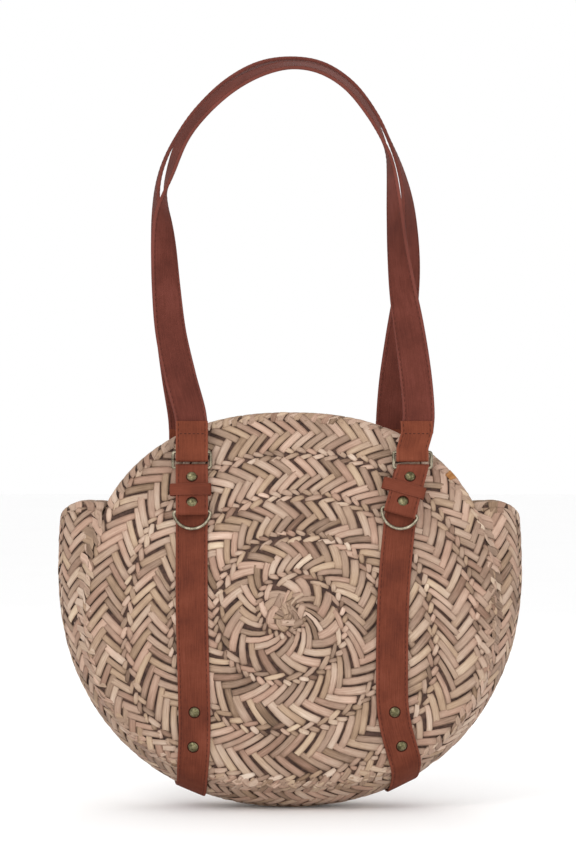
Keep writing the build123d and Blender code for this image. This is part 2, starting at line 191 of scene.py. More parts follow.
# Handle ends
HINGE_Y = -JOINT_POINTS["front_left_ring_swing"][1]
HINGE_Z = JOINT_POINTS["front_left_ring_swing"][2]
HANDLE_APEX_Y = 17.0
HANDLE_APEX_Z = 702.0
FLAP_LAYER = 1.7
FOLD_DROP = 5.6          # how far a handle's end hangs loose under the ring's bar
FLAP_TOP = 29.0          # a handle's folded-up end, above the ring's bar
FLAP_BACK = 0.75         # how much of that its hidden side goes up
FLAP_DEPTH = 1.25        # of either side, from the bar's middle
FLAP_SWELL = 0.75        # how much further out the front side is, higher up
FLAP_BACK_POINTS = 10
FLAP_BEND_POINTS = 19
FLAP_FRONT_STEPS = 16
FLAP_SWELL_STEPS = 5
FLAP_STITCHES = 17.0     # the row of stitches across it, above the bar
FLAP_STITCH_ENDS = -11.5, 10.0
FLAP_STITCH_SIZE = 0.8   # of the other stitches
FLAP_THREAD = 0.5        # radius
END_LEANS = {("front", "right"): ((3.0, HANDLE_END, FLAP_TOP), (0.0, 4.6, 3.8))}   # height, move

CORNERS = ("front_left", "front_right", "rear_left", "rear_right")

# Middle line of each base strap as (across, height), from its tab down to the bottom seam
BASE_ROUTES = {
    "front_left": [(-91.0, STRAP_TOP_Z), (-91.0, 200.0), (-88.5, 95.0), (-91.0, 48.0)],
    "front_right": [(112.0, STRAP_TOP_Z), (103.0, 280.0), (96.0, 210.0), (94.5, 130.0),
                    (97.0, 95.0), (109.0, 48.0)],
    "rear_left": [(-101.0, STRAP_TOP_Z), (-99.0, 180.0), (-98.0, 48.0)],
    "rear_right": [(97.0, STRAP_TOP_Z), (96.0, 180.0), (99.0, 48.0)],
}

# Handles: (across, height, twist in degrees). Twist 0 faces out of the bag, and 90 lays the strap's
# width across the bag's middle plane.
HANDLE_ROUTES = {
    "front": [
        (-93.5, 374, 0), (-102.5, 407, 4), (-111.5, 448, 16), (-116, 490, 29), (-118.5, 530, 42),
        (-119.5, 558, 62), (-118, 576, 88), (-114, 594, 105), (-102, 629, 114), (-84, 655, 117),
        (-58, 679, 118), (-29, 695, 116), (1, 702, 114), (30, 697, 113), (56, 680, 111),
        (77, 652, 106), (90, 624, 95), (95, 602, 80), (98.5, 560, 64), (101, 527, 54),
        (105.5, 489, 37), (112, 448, 19), (117.5, 407, 7), (120, 374, 0),
    ],
    "rear": [
        (-103.5, 374, 0), (-109, 408, 5), (-115, 451, 15), (-120, 493, 31), (-125, 535, 55),
        (-128, 565, 74), (-127, 590, 84), (-121, 613, 87), (-109, 637, 89), (-90, 663, 92),
        (-62, 689, 95), (-31, 706, 96), (1, 711, 96), (32, 706, 95), (60, 688, 93),
        (82, 660, 91), (96, 632, 88), (106, 606, 81), (112.5, 578, 71), (115, 548, 60),
        (114.5, 515, 45), (111, 482, 30), (106, 444, 15), (101, 405, 4), (98.5, 374, 0),
    ],
}

# Camera and studio
CAMERA_DISTANCE = 3.0
CAMERA_HEIGHT = 0.3553
CAMERA_SIDE = -0.0019
SENSOR = 36.0
VIEW_HEIGHT = 0.8208     # what the picture's long side holds, in the bag's middle plane
FLOOR_SIZE = 30.0


# ---- vectors
ACROSS = np.array([1.0, 0.0, 0.0])


def unit(v):
    return v / np.maximum(np.linalg.norm(v, axis=-1, keepdims=True), 1e-9)


def across_of(v, axis):
    """The part of a direction that is square to an axis, made one long."""
    return unit(v - axis * np.sum(v * axis, axis=-1, keepdims=True))


def run(points):
    """How far along a run of points each one lies."""
    steps = np.linalg.norm(np.diff(points, axis=0), axis=1)
    return np.concatenate([[0], np.cumsum(steps)])


def smooth_path(points, count):
    """Points evenly spaced along a smooth curve through some points of any dimension."""
    points = np.array(points, float)
    before = 2 * points[0] - points[1]
    after = 2 * points[-1] - points[-2]
    p = np.vstack([before, points, after])
    dense = []
    t = np.linspace(0, 1, 24, endpoint=False)[:, None]
    for a, b, c, d in zip(p, p[1:], p[2:], p[3:]):
        dense.append(0.5 * (2 * b + (c - a) * t + (2 * a - 5 * b + 4 * c - d) * t ** 2
                            + (3 * b - a - 3 * c + d) * t ** 3))
    dense = np.vstack(dense + [points[-1:]])
    along = run(dense[:, :3])
    wanted = np.linspace(0, along[-1], count)
    return np.stack([np.interp(wanted, along, dense[:, k]) for k in range(dense.shape[1])], axis=1)


# ---- the woven body's outer surface
def reach(angle, half_width, above, below, power):
    """Distance from a superellipse's centre to its edge."""
    height = np.where(np.sin(angle) > 0, above, below)
    return (np.abs(np.cos(angle) / half_width) ** power
            + np.abs(np.sin(angle) / height) ** power) ** (-1 / power)


def disc_reach(angle):
    return reach(angle, DISC_HALF_WIDTH, DISC_ABOVE, DISC_BELOW, DISC_POWER)


def disc_depth(x, z):
    """Middle plane to a disc's outer face."""
    angle = np.arctan2(z - CENTRE_Z, x)
    outward = np.hypot(x, z - CENTRE_Z) / disc_reach(angle)
    rim = RIM_DEPTH - RIM_LEAN * np.sin(angle)
    power = DOME_POWER - np.sin(angle)
    inside = rim + (CROWN_DEPTH - rim) * (1 - np.minimum(outward, 1) ** power)
    outside = (CROWN_DEPTH - rim) * power * np.maximum(outward - 1, 0)
    return inside - outside


def disc_bottom(x):
    share = 1 - np.abs(x / DISC_HALF_WIDTH) ** DISC_POWER
    return CENTRE_Z - DISC_BELOW * share ** (1 / DISC_POWER)


def disc_point(x, z, height=0.0):
    """A point over the front disc's outer face."""
    step = 0.5
    slope_x = (disc_depth(x + step, z) - disc_depth(x - step, z)) / (2 * step)
    slope_z = (disc_depth(x, z + step) - disc_depth(x, z - step)) / (2 * step)
    normal = unit(np.stack([-slope_x, -np.ones_like(slope_x), -slope_z], axis=-1))
    return np.stack([x, -disc_depth(x, z), z], axis=-1) + normal * np.asarray(height)[..., None]


def disc_at(turn, outward, past, height):
    """A point by clock, clockwise from the top, by share of the disc's reach, and past that."""
    angle = pi / 2 - 2 * pi * turn
    radius = outward * disc_reach(angle) + past
    return disc_point(radius * np.cos(angle), CENTRE_Z + radius * np.sin(angle), height)


def rounds_at(turn):
    """How many rounds of braid lie between a disc's centre and its rim, at a place on the clock."""
    clock = 2 * pi * turn
    return ROUNDS + ROUNDS_TOP * np.cos(clock) - ROUNDS_SIDE * np.cos(2 * clock)


def spiral_point(turn, across, height):
    """The disc's braid: turn counts clockwise from the top, across is 0 at the inner seam and 1 at
    the outer one."""
    rounds = rounds_at(turn)
    inner = np.clip(turn, 0, rounds)
    outer = np.clip(turn + 1, inner, rounds)
    index = np.minimum(inner + (outer - inner) * across, rounds)
    outward = (np.maximum(index, 0.001) / rounds) ** SPIRAL_SHRINK
    return disc_at(turn, outward, 0.0, height)


def band_outer(along, across):
    """The side band's outer face: along runs from -1, left ear, to 1, right ear, and across from
    -1, front seam, to 1, rear seam."""
    corner = np.clip(1 - (across / EAR_CORNER) ** 2, 0, 1) ** 2
    share = np.abs(along)
    share = share * (1 - EAR_ROUNDING * corner * share ** 8)
    angle = -pi / 2 + share * (EAR_ANGLE + pi / 2)
    edge_angle = -pi / 2 + share * (EAR_BAND_ANGLE + pi / 2)
    disc = disc_reach(angle)
    edge = reach(edge_angle, BAND_HALF_WIDTH, BAND_ABOVE, BAND_BELOW, BAND_POWER)
    bulge = 1 - np.abs(across) ** BAND_BULGE
    seam_x = disc * np.cos(angle)
    seam_z = CENTRE_Z + disc * np.sin(angle)
    x = seam_x + (edge * np.cos(edge_angle) - seam_x) * bulge
    z = seam_z + (BAND_Z + edge * np.sin(edge_angle) - seam_z) * bulge
    y = (RIM_DEPTH - RIM_LEAN * np.sin(angle) - BAND_TUCK) * across
    return np.stack([np.where(along < 0, -x, x), y + 0 * x, z], axis=-1)


def band_point(along, across, height=0.0):
    step = 0.002
    d_along = band_outer(along + step, across) - band_outer(along - step, across)
    d_across = band_outer(along, across + step) - band_outer(along, across - step)
    normal = unit(np.cross(d_across, d_along))
    return band_outer(along, across) + normal * np.asarray(height)[..., None]


def row_point(row):
    """The braid of one row of the side band, with the chart that spiral_point has."""
    def point(turn, across, height):
        return band_point(turn, np.clip(-1 + 2 * (row + across) / BAND_ROWS, -1, 1), height)
    return point


# ---- meshes
def rearward(points):
    return points * np.array([1.0, -1.0, 1.0])


class Parts:
    """Grids of points that become one mesh, with a colour tone, which on the leaves also carries
    painted shade, and fibre coordinates per point.
    """

    def __init__(self):
        self.points = []
        self.quads = []
        self.values = {"tone": [], "along": [], "across": []}
        self.count = 0

    def add(self, points, quads, **values):
        points = np.asarray(points, float).reshape(-1, 3)
        self.points.append(points)
        self.quads.append(np.asarray(quads).reshape(-1, 4) + self.count)
        for name, stored in self.values.items():
            stored.append(np.broadcast_to(values.get(name, 0.0), (len(points),)).astype(np.float32))
        self.count += len(points)


def mesh_object(name, parts, material, body, rear=False):
    """One piece from its parts, which rides on a body and has a material slot."""
    points = np.vstack(parts.points)
    quads = np.vstack(parts.quads)
    if rear:
        points = rearward(points)
        quads = quads[:, ::-1]
    mesh = bpy.data.meshes.new(name)
    mesh.vertices.add(len(points))
    mesh.vertices.foreach_set("co", (points * MM).astype(np.float32).ravel())
    mesh.loops.add(quads.size)
    mesh.loops.foreach_set("vertex_index", quads.astype(np.int32).ravel())
    mesh.polygons.add(len(quads))
    mesh.polygons.foreach_set("loop_start", np.arange(0, quads.size, 4, dtype=np.int32))
    mesh.polygons.foreach_set("use_smooth", np.full(len(quads), True))
    mesh.update(calc_edges=True)
    for key, stored in parts.values.items():
        attribute = mesh.attributes.new(key, "FLOAT", "POINT")
        attribute.data.foreach_set("value", np.concatenate(stored))
    mesh.materials.append(material)
    made = bpy.data.objects.new(name, mesh)
    bpy.context.scene.collection.objects.link(made)
    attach(made, body)
    return made


def grid_quads(rows, columns, wrap=False):
    """Faces of a grid of points, closed round its columns if wrap."""
    last = columns if wrap else columns - 1
    i, j = np.meshgrid(np.arange(rows - 1), np.arange(last), indexing="ij")
    after = (j + 1) % columns
    return np.stack([i * columns + j, i * columns + after,
                     (i + 1) * columns + after, (i + 1) * columns + j], axis=-1).reshape(-1, 4)


def slab_quads(rows, columns):
    """Faces of a closed slab: a top grid, then a bottom grid of the same size."""
    size = rows * columns
    top = grid_quads(rows, columns)
    bottom = top[:, ::-1] + size
    edge = list(range(columns))
    edge += [i * columns + columns - 1 for i in range(1, rows)]
    edge += [size - 1 - j for j in range(1, columns)]
    edge += [i * columns for i in range(rows - 2, 0, -1)]
    a = np.array(edge)
    b = np.roll(a, -1)
    return np.vstack([top, bottom, np.stack([b, a, a + size, b + size], axis=-1)])


# ---- braid
LEAF_COLUMNS = 5
LEAF_STATIONS = np.array([0.0, 0.1, 0.24, 0.5, 0.76, 0.9, 1.0])   # places along a leaf


def leaf_slabs(point, starts, ends, turn, scale, tones, loop, wall_side, cut=np.inf):
    """Many leaves at once. starts and ends are (along, across) in millimetres from each leaf's own
    place, turn. scale is the braid's millimetres per unit of turn and of across there."""
    count = len(turn)
    t = LEAF_STATIONS[None, :, None]
    v = np.linspace(-1, 1, LEAF_COLUMNS)[None, None, :]
    line = ends - starts
    length = np.linalg.norm(line, axis=1)
    side = np.stack([-line[:, 1], line[:, 0]], axis=1) / length[:, None]
    half = LEAF_WIDTH / 2 * RANDOM.uniform(*LEAF_SPREAD, count)
    if loop:
        half = half * LOOP_NARROWING
        taper = 0.35 + 0.65 * np.sin(pi * np.clip(t, 0.03, 0.97)) ** 0.6
        rise = 1 - np.abs(2 * t - 1) ** 3
    else:
        taper = 1 - 0.16 * np.abs(2 * t - 1) ** 5
        rise = 1 - np.abs(2 * t - 1) ** 7
    bow = RANDOM.normal(0, LEAF_BOW, count)[:, None, None] * (1 - (2 * t - 1) ** 2)
    offset = half[:, None, None] * taper * v + bow
    place = starts[:, None, None, :] + line[:, None, None, :] * t[..., None]
    place = place + side[:, None, None, :] * offset[..., None]
    tilt = RANDOM.normal(*LEAF_TILT, count)[:, None, None] * v
    crease = RANDOM.choice(LEAF_CREASES, count)[:, None, None]
    crease = crease * (1 - np.minimum(1, 2 * np.abs(v)))
    high = BRAID_HIGH + RANDOM.normal(0, 0.16, count)[:, None, None] - (0.1 if loop else 0)
    height = BRAID_LOW + (high - BRAID_LOW) * rise + (tilt - crease - 0.16 * v ** 4) * rise
    height = np.minimum(height, BRAID_TOP)
    turns = np.clip(turn[:, None, None] + place[..., 0] / scale[:, 0, None, None], -cut, cut)
    across = place[..., 1] / scale[:, 1, None, None]
    tops = point(turns, across, np.broadcast_to(wall_side(height), turns.shape))
    bottoms = point(turns, across, np.broadcast_to(wall_side(height - LEAF_THICKNESS), turns.shape))
    start = RANDOM.uniform(0, 900, count)[:, None, None]
    along = np.broadcast_to(t * length[:, None, None] + start, turns.shape)
    sideways = np.broadcast_to(v * half[:, None, None], turns.shape)
    # Painted shade: each leaf is darker where it dips under its neighbours and along its long
    # edges, on top of its own random tone.
    tone = np.broadcast_to(tones[:, None, None] - 0.3 * (1 - rise) - 0.24 * v ** 4, turns.shape)
    return tops, bottoms, along, sideways, tone


def outside(height):
    return height


def inside(height):
    return -WALL - height


WALL_SIDES = {"outside": outside, "inside": inside}


def braid_parts(point, turn, turn_end, wall_side, cut=np.inf):
    """A plaited strip: two columns of long leaves that meet in a V, and short loops along both
    edges. cut is the turn, either way, past which nothing lies."""
    stations = []
    while turn < turn_end:
        step = 0.004
        a, b = point(np.array([turn - step, turn + step]), np.array([0.62, 0.62]), np.zeros(2))
        pace = max(float(np.linalg.norm(b - a)) / (2 * step), LEAST_PACE)
        a, b = point(np.array([turn, turn]), np.array([0.1, 0.9]), np.zeros(2))
        width = float(np.linalg.norm(b - a)) / 0.8
        if width > LEAST_WIDTH:
            stations.append((turn, pace, width))
        turn += LEAF_PITCH * RANDOM.uniform(0.93, 1.07) / pace
    stations = np.array(stations)
    count = len(stations)
    parts = Parts()
    for column in range(4):
        loop = column in (0, 3)
        far = column > 1
        width = stations[:, 2]
        fullness = np.minimum(1, width / FULL_BRAID)
        edge = EDGE_LOOP * fullness
        shift = 0.5 * LEAF_PITCH if far else 0.0
        if loop:
            run = LOOP_RUN * fullness
            starts = np.stack([-run / 2 + shift, edge + 0.8], axis=1)
            ends = np.stack([run / 2 + shift, -0.4 + 0 * width], axis=1)
        else:
            rise = width / 2 - edge + 2 + LEAF_TUCK
            tucked = LEAF_TUCK * LEAF_SLANT + shift + 0 * width
            starts = np.stack([(LEAF_TUCK - rise) * LEAF_SLANT + shift, edge - 2], axis=1)
            ends = np.stack([tucked, width / 2 + LEAF_TUCK], axis=1)
        wobble = RANDOM.normal(0, LEAF_SHIFT, (count, 2))
        starts = starts + wobble
        ends = ends + wobble + RANDOM.normal(0, LEAF_STRAY, (count, 2))
        if far:
            starts[:, 1] = width - starts[:, 1]
            ends[:, 1] = width - ends[:, 1]
        tones = RANDOM.normal(*LEAF_TONE, count)
        scale = np.stack([stations[:, 1], width], axis=1)
        last = stations[:, 0] + np.maximum(starts[:, 0], ends[:, 0]) / stations[:, 1]
        first = stations[:, 0] + np.minimum(starts[:, 0], ends[:, 0]) / stations[:, 1]
        kept = (last > -cut) & (first < cut)
        made = leaf_slabs(point, starts[kept], ends[kept], stations[kept, 0], scale[kept],
                          tones[kept], loop, wall_side, cut)
        add_slabs(parts, *made)
    return parts


def knot_parts(count):
    """The disc's start: short leaves laid every way round the spiral's centre."""
    angle = np.arange(count) * 2.4 + RANDOM.normal(0, 0.3, count)
    radius = KNOT_RADIUS * np.sqrt((np.arange(count) + 0.3) / count)
    middle = np.stack([np.cos(angle), np.sin(angle)], axis=1) * radius[:, None]
    heading = angle - pi / 2 + RANDOM.normal(0.5, 0.4, count)
    half = RANDOM.uniform(5, 9, count)[:, None]
    half = np.stack([np.cos(heading), np.sin(heading)], axis=1) * half
    ones = np.ones((count, 2))
    made = leaf_slabs(knot_point, middle - half, middle + half, np.zeros(count), ones,
                      RANDOM.normal(0.59, 0.11, count), False, outside)
    parts = Parts()
    add_slabs(parts, *made)
    return parts


def knot_point(x, z, height):
    return disc_point(x, CENTRE_Z + z, height)


def add_slabs(parts, tops, bottoms, along, sideways, tone):
    """Put many slabs of the same grid into one mesh, each with its faces turned outward."""
    count, rows, columns = tops.shape[:3]
    size = rows * columns
    points = np.concatenate([tops.reshape(count, size, 3), bottoms.reshape(count, size, 3)], axis=1)
    quads = slab_quads(rows, columns)
    a, b, c, d = (points[:, quads[:, k]] - points[:, :1] for k in range(4))
    volume = np.sum(a * np.cross(b, c) + a * np.cross(c, d), axis=(1, 2))
    quads = np.where(volume[:, None, None] < 0, quads[None, :, ::-1], quads[None])
    quads = quads + (np.arange(count) * 2 * size)[:, None, None]

    def twice(values):
        values = values.reshape(count, size)
        return np.concatenate([values, values], axis=1).ravel()

    parts.add(points, quads, tone=twice(tone), along=twice(along), across=twice(sideways))


FOLD_STATIONS = np.linspace(0, 1, 9)[None, :, None]
FOLD_ACROSS = np.linspace(-1, 1, LEAF_COLUMNS)[None, None, :]


def fold_places(start, end, count, lean):
    """Many slanted leaves that cross an edge: for each point of each leaf, its place along the
    edge from start to end."""
    pitch = (end - start) / count
    middle = start + pitch * (np.arange(count) + 0.5 + RANDOM.uniform(-0.14, 0.14, count))
    half = pitch * RANDOM.uniform(0.38, 0.56, count)
    slope = pitch * RANDOM.normal(lean, 0.3, count)
    bow = 0.4 + 0.6 * np.sin(pi * np.clip(FOLD_STATIONS, 0.03, 0.97)) ** 0.5
    places = middle[:, None, None] + slope[:, None, None] * (FOLD_STATIONS - 0.5)
    return places + half[:, None, None] * FOLD_ACROSS * bow


def fold_slabs(tops, bottoms, tint):
    """What add_slabs needs for leaves that cross an edge."""
    count = len(tops)
    shape = tops.shape[:3]
    tone = np.broadcast_to(RANDOM.normal(tint, FOLD_TONE_SPREAD, count)[:, None, None], shape)
    start = RANDOM.uniform(0, 900, count)[:, None, None]
    along = np.broadcast_to(FOLD_STATIONS * 14 + start, shape)
    return tops, bottoms, along, np.broadcast_to(FOLD_ACROSS * 3, shape), tone


def rim_leaves(edge_point, start, end, count):
    """Leaves folded over a free edge: edge_point takes a place along the edge, a distance past it,
    and a height over the wall's outer face."""
    places = fold_places(start, end, count, 1.5)
    turn = pi * (FOLD_STATIONS - 0.5) + 0 * places
    inward = RANDOM.uniform(6.5, 10.0, count)[:, None, None]
    past = -inward + (inward + 0.6) * np.cos(turn) ** 0.7 - 0.2 * FOLD_ACROSS ** 2
    side = -np.sin(turn)
    height = -WALL / 2 + (WALL / 2 + 0.25) * side * (1 - 0.15 * FOLD_ACROSS ** 2)
    return folded(edge_point, places, turn, past, height, RIM_TONE)


def folded(edge_point, places, turn, past, height, tint):
    """Leaves from the places of their outer faces, and how far they have turned over the edge."""
    tops = edge_point(places, past, height)
    bottoms = edge_point(places, past - LEAF_THICKNESS * np.cos(turn),
                         height + LEAF_THICKNESS * np.sin(turn))
    return fold_slabs(tops, bottoms, tint)


def stained_leaf():
    """One ochre leaf on the front rim, beside the right handle, narrower at its hidden end."""
    slant = FOLD_ACROSS * (0.55 + 0.45 * FOLD_STATIONS) + 0.4 * FOLD_STATIONS - 0.3
    places = STAINED_PLACE + STAINED_HALF * slant
    turn = pi * (STAINED_TURN * FOLD_STATIONS - 0.5) + 0 * places
    past = -STAINED_REACH + (STAINED_REACH + 0.8) * np.cos(turn) ** 0.7
    height = 0.3 - WALL / 2 + (WALL / 2 + 0.3) * -np.sin(turn)
    parts = Parts()
    add_slabs(parts, *folded(disc_edge, places, turn, past, height, 0.5))
    mesh_object("front_stained_leaf", parts, STAINED_PALM, "bag")


def seam_leaves(count):
    """Slanted leaves from the front disc's rim, across its seam, onto the side band."""
    places = fold_places(MOUTH_SHARE + SEAM_START, 1 - MOUTH_SHARE - SEAM_START, count, 1.7)
    inset = RANDOM.uniform(2.0, 9.0, count)[:, None, None]
    run = RANDOM.uniform(0.1, 0.3, count)[:, None, None]
    first = np.minimum(1, 2 * FOLD_STATIONS)
    second = np.maximum(0, 2 * FOLD_STATIONS - 1)
    share = np.clip((FOLD_STATIONS - 0.3) / 0.4, 0, 1)
    share = share * share * (3 - 2 * share)
    angle = pi / 2 - 2 * pi * places
    rising = np.where(np.cos(angle) > 0, angle, -pi - angle)
    rising = np.where(rising < -pi, rising + 2 * pi, rising)
    along = np.sign(np.cos(angle)) * np.abs(rising + pi / 2) / (EAR_ANGLE + pi / 2)
    faces = []
    for sunk in (0, LEAF_THICKNESS):
        past = (inset + 0.8) * first - inset - sunk
        on_disc = disc_edge(places, past, 0.25 - 1.2 * first ** 2 - sunk)
        height = 0.3 - 2.2 * second ** 2 - sunk
        on_band = band_point(along, -1 + run * second + 0 * places, height + 0 * places)
        faces.append(on_disc * (1 - share[..., None]) + on_band * share[..., None])
    return fold_slabs(*faces, RIM_TONE)


def disc_edge(place, past, height):
    """Past the front disc's rim."""
    return disc_at(place, 1.0, past, height)


def ear_edge(side):
    """Along the free top edge of one ear, from its front seam to its rear one."""
    def point(place, past, height):
        return band_point(side * (1 + past / EAR_HALF_LENGTH), place, height)
    return point


def shell_parts(point, turns, acrosses, outer, inner):
    """A closed sheet between two heights over the wall's outer face."""
    t, a = np.meshgrid(turns, acrosses, indexing="ij")
    tops = point(t, a, np.full(t.shape, outer))[None]
    bottoms = point(t, a, np.full(t.shape, inner))[None]
    parts = Parts()
    add_slabs(parts, tops, bottoms, *[np.zeros((1, *t.shape))] * 3)
    return parts


def polar_point(turn, outward, height):
    """The disc by clock and share of its reach."""
    return disc_at(turn, outward, 0.0, height)


# ---- leather
def strap_section(width, thickness):
    """A strap's cross section as (sideways, outward) points: flat faces and rounded cut edges."""
    half = width / 2
    bend = thickness / 2
    flats = np.linspace(-1, 1, 9)
    crown = 0.06 * thickness * (1 - flats ** 2)
    upper = [(s * (half - bend), bend + c) for s, c in zip(flats, crown)]
    turns = np.linspace(pi / 2, -pi / 2, 7)[1:-1]
    right = [(half - bend + bend * cos(a), bend * sin(a)) for a in turns]
    lower = [(-x, -y) for x, y in upper]
    left = [(-x, -y) for x, y in right]
    return np.array(upper + right + lower + left)


def ribbon_parts(centres, sideways, outward, width, thickness):
    """A strap along centres."""
    count = len(centres)
    section = strap_section(width, thickness)
    columns = len(section)
    points = (centres[:, None] + section[None, :, :1] * sideways[:, None]
              + section[None, :, 1:] * outward[:, None])
    turned = np.sum(np.cross(sideways, np.gradient(centres, axis=0)) * outward) < 0
    quads = grid_quads(count, columns, wrap=True)
    if turned:
        quads = quads[:, ::-1]
    along = run(centres)
    across = np.broadcast_to(strap_section(width, 1.0)[:, 0] / (width / 2), (count, columns))
    parts = Parts()
    parts.add(points, quads, along=np.repeat(along, columns), across=across.ravel())
    for row in (0, count - 1):
        cap = cap_quads(columns, (row > 0) != turned)
        parts.add(points[row], cap, along=along[row], across=1.0)
    return parts


def cap_quads(columns, far):
    """Faces that close a ring of an even number of points, as strips from side to side."""
    quads = []
    for k in range(columns // 2 - 1):
        a, b, c, d = k, k + 1, columns - 2 - k, columns - 1 - k
        quads.append((a, b, c, d) if far else (d, c, b, a))
    return quads


def stitch_parts(parts, starts, ends, outward, radius=STITCH_THREAD):
    """Short threads lying on a strap: rounded six-sided bars, sunk at both ends."""
    count = len(starts)
    line = ends - starts
    side = unit(np.cross(line, outward))
    t = np.array([0.0, 0.12, 0.5, 0.88, 1.0])[None, :, None, None]
    size = np.array([0.35, 0.9, 1.0, 0.9, 0.35])[None, :, None, None] * radius
    lift = np.array([-0.9, -0.4, -0.2, -0.4, -0.9])[None, :, None, None] * radius
    a = np.linspace(0, 2 * pi, 6, endpoint=False)[None, None, :, None]
    points = (starts[:, None, None, :] + line[:, None, None, :] * t
              + side[:, None, None, :] * np.cos(a) * size
              + outward[:, None, None, :] * (np.sin(a) * size + lift))
    body = grid_quads(5, 6, wrap=True)[:, ::-1]
    first = np.array([[0, 1, 2, 5], [2, 3, 4, 5]])
    last = first[:, ::-1] + 24
    quads = np.vstack([body, first, last])
    quads = quads[None] + (np.arange(count) * 30)[:, None, None]
    parts.add(points, quads, tone=0.5)


def edge_stitches(parts, centres, sideways, outward, width, thickness, faces=(1,)):
    """Two rows of stitches along a strap, near its cut edges."""
    along = run(centres)
    begin = np.arange(STITCH_PITCH, along[-1] - STITCH_PITCH, STITCH_PITCH)

    def spot(place, values):
        return np.stack([np.interp(place, along, values[:, k]) for k in range(3)], axis=1)

    for face in faces:
        for edge in (-1, 1):
            ends = []
            for place in (begin, begin + STITCH):
                out = unit(spot(place, outward)) * face
                inset = edge * (width / 2 - STITCH_INSET)
                ends.append(spot(place, centres) + spot(place, sideways) * inset
                            + out * (thickness / 2))
            stitch_parts(parts, ends[0], ends[1], unit(spot(begin, outward)) * face)


def surface_strap(rows):
    """Centres, sideways and outward directions of a strap that lies on a grid of points."""
    rows = np.array(rows)
    centres = rows[:, rows.shape[1] // 2]
    side = unit(rows[:, -1] - rows[:, 0])
    along = unit(np.gradient(centres, axis=0))
    side = across_of(side, along)
    out = unit(np.cross(along, side))
    return centres, side, out


def strap_on_disc(route, offsets, count):
    rows = []
    line = smooth_path(route, count)
    top = line[0, 1]
    low = line[-1, 1]
    for x, z in line:
        xs = x + offsets
        zs = top - (top - z) / (top - low) * (top - disc_bottom(xs))
        rows.append(disc_point(xs, zs))
    return rows


def band_under(xs, across):
    """The side band's outer face under the bag."""
    low = np.zeros_like(xs)
    high = np.full_like(xs, 0.75)
    for _ in range(30):
        middle = (low + high) / 2
        near = band_outer(middle, across)[:, 0] < np.abs(xs)
        low = np.where(near, middle, low)
        high = np.where(near, high, middle)
    point = band_outer(low, across)
    return np.stack([xs, point[:, 1], point[:, 2]], axis=1)


def base_strap_rows(hand):
    offsets = np.linspace(-STRAP_WIDTH / 2, STRAP_WIDTH / 2, 5)
    front = strap_on_disc(BASE_ROUTES[f"front_{hand}"], offsets, 49)
    rear = [rearward(row) for row in strap_on_disc(BASE_ROUTES[f"rear_{hand}"], offsets, 49)[::-1]]
    start = front[-1][2, 0]
    end = rear[0][2, 0]
    under = []
    centres = np.linspace(start, end, 15)[1:-1]
    for centre, across in zip(centres, np.linspace(-STRAP_TURN, STRAP_TURN, 13)):
        under.append(band_under(centre + offsets, np.full(5, across)))
    return np.array(front + under + rear)


def smoothed(values, passes):
    """Even out a run of points without moving its ends."""
    values = values.copy()
    for _ in range(passes):
        values[1:-1] = values[1:-1] / 2 + (values[:-2] + values[2:]) / 4
    return values


# ---- materials
def material(name):
    made = bpy.data.materials.new(name)
    made.use_nodes = True
    tree = made.node_tree
    tree.nodes.clear()
    output = tree.nodes.new("ShaderNodeOutputMaterial")
    shader = tree.nodes.new("ShaderNodeBsdfPrincipled")
    tree.links.new(shader.outputs[0], output.inputs[0])
    return made, tree, shader


def node(tree, kind, **settings):
    made = tree.nodes.new(f"ShaderNode{kind}")
    for key, value in settings.items():
        if key in made.inputs:
            made.inputs[key].default_value = value
        else:
            setattr(made, key, value)
    return made


def feed(tree, socket, value):
    """Set a socket to a number or colour, or link another socket to it."""
    if isinstance(value, (int, float, tuple)):
        socket.default_value = value
    else:
        tree.links.new(value, socket)


def ramp(tree, source, stops):
    made = node(tree, "ValToRGB")
    elements = made.color_ramp.elements
    while len(elements) < len(stops):
        elements.new(0.5)
    for element, (position, colour) in zip(elements, stops):
        element.position = position
        element.color = (*colour, 1)
    tree.links.new(source, made.inputs[0])
    return made.outputs[0]


def attribute(tree, name):
    return node(tree, "Attribute", attribute_name=name).outputs["Fac"]


def maths(tree, operation, *values):
    made = node(tree, "Math", operation=operation)
    for socket, value in zip(made.inputs, values):
        feed(tree, socket, value)
    return made.outputs[0]


def blended(tree, kind, factor, first, second):
    made = node(tree, "Mix", data_type="RGBA", blend_type=kind)
    for k, value in ((0, factor), (6, first), (7, second)):
        feed(tree, made.inputs[k], (*value, 1) if isinstance(value, tuple) else value)
    return made.outputs[2]


def fibre(tree, along, across):
    """Coordinates that run with a leaf's or a strap's length and width, scaled."""
    made = node(tree, "CombineXYZ", Z=0.0)
    for k, (name, scale) in enumerate((("along", along), ("across", across))):
        feed(tree, made.inputs[k], maths(tree, "MULTIPLY", attribute(tree, name), scale))
    return made.outputs[0]


def noise(tree, vector, scale, detail=3.0, roughness=0.5):
    made = node(tree, "TexNoise", Scale=scale, Detail=detail, Roughness=roughness)
    tree.links.new(vector, made.inputs["Vector"])
    return made.outputs["Fac"]


def bump(tree, shader, height, strength, distance):
    made = node(tree, "Bump", Strength=strength, Distance=distance)
    tree.links.new(height, made.inputs["Height"])
    tree.links.new(made.outputs[0], shader.inputs["Normal"])


def surface(tree, shader, colour, roughness, specular=None):
    feed(tree, shader.inputs["Base Color"], colour)
    feed(tree, shader.inputs["Roughness"], roughness)
    if specular is not None:
        shader.inputs["Specular IOR Level"].default_value = specular


def object_coords(tree):
    return node(tree, "TexCoord").outputs["Object"]


